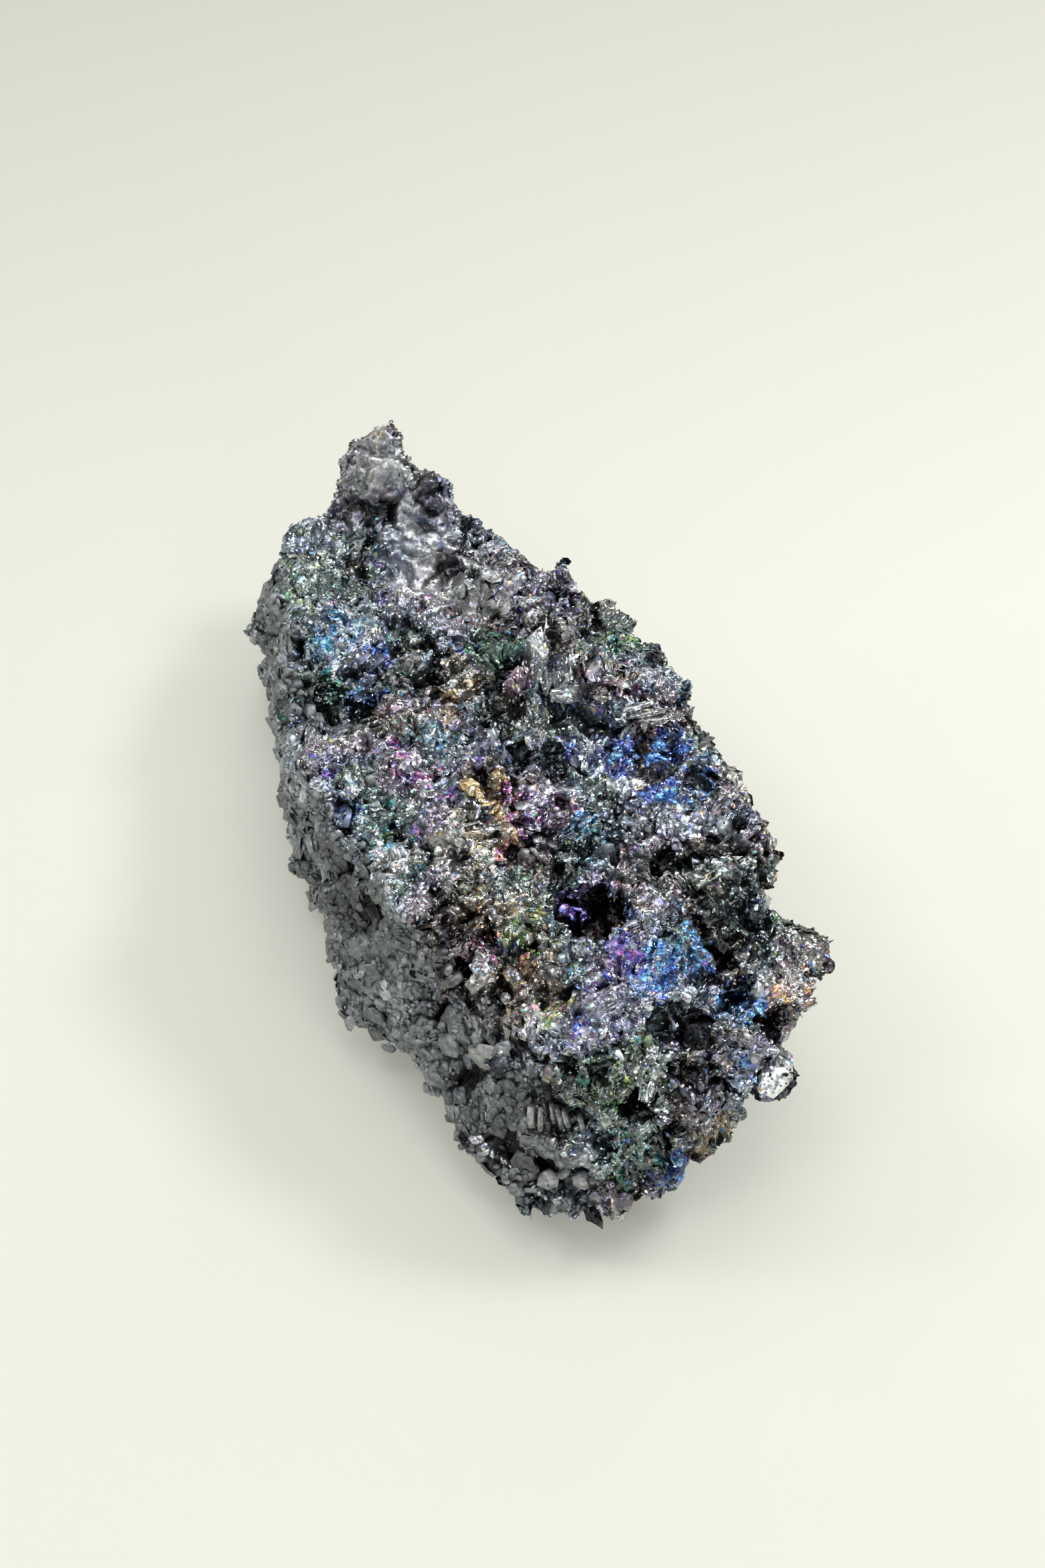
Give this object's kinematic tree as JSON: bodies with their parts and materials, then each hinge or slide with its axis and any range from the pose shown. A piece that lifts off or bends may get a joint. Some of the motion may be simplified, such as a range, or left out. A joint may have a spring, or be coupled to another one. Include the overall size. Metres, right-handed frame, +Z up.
{
  "type": "silicon carbide crystal",
  "caption": "Rough, elongated specimen of intergrown silicon carbide plates, blunt at one end and pointed at the other, lying on its broken underside.",
  "frame": {"origin": "under the middle of the bounding box, on the plane that the specimen rests on", "axes": "+Y runs the long way from the blunt near end to the pointed far end, +X to the right across it, +Z up"},
  "size_m": [0.0962, 0.196, 0.075],
  "materials": {
    "silicon_carbide": "metallic grey crystal faces with thin iridescent films of blue, violet, green and gold"
  },
  "bodies": {
    "root": {"silicon_carbide_crystal_mass": "silicon_carbide"}
  },
  "joints": []
}
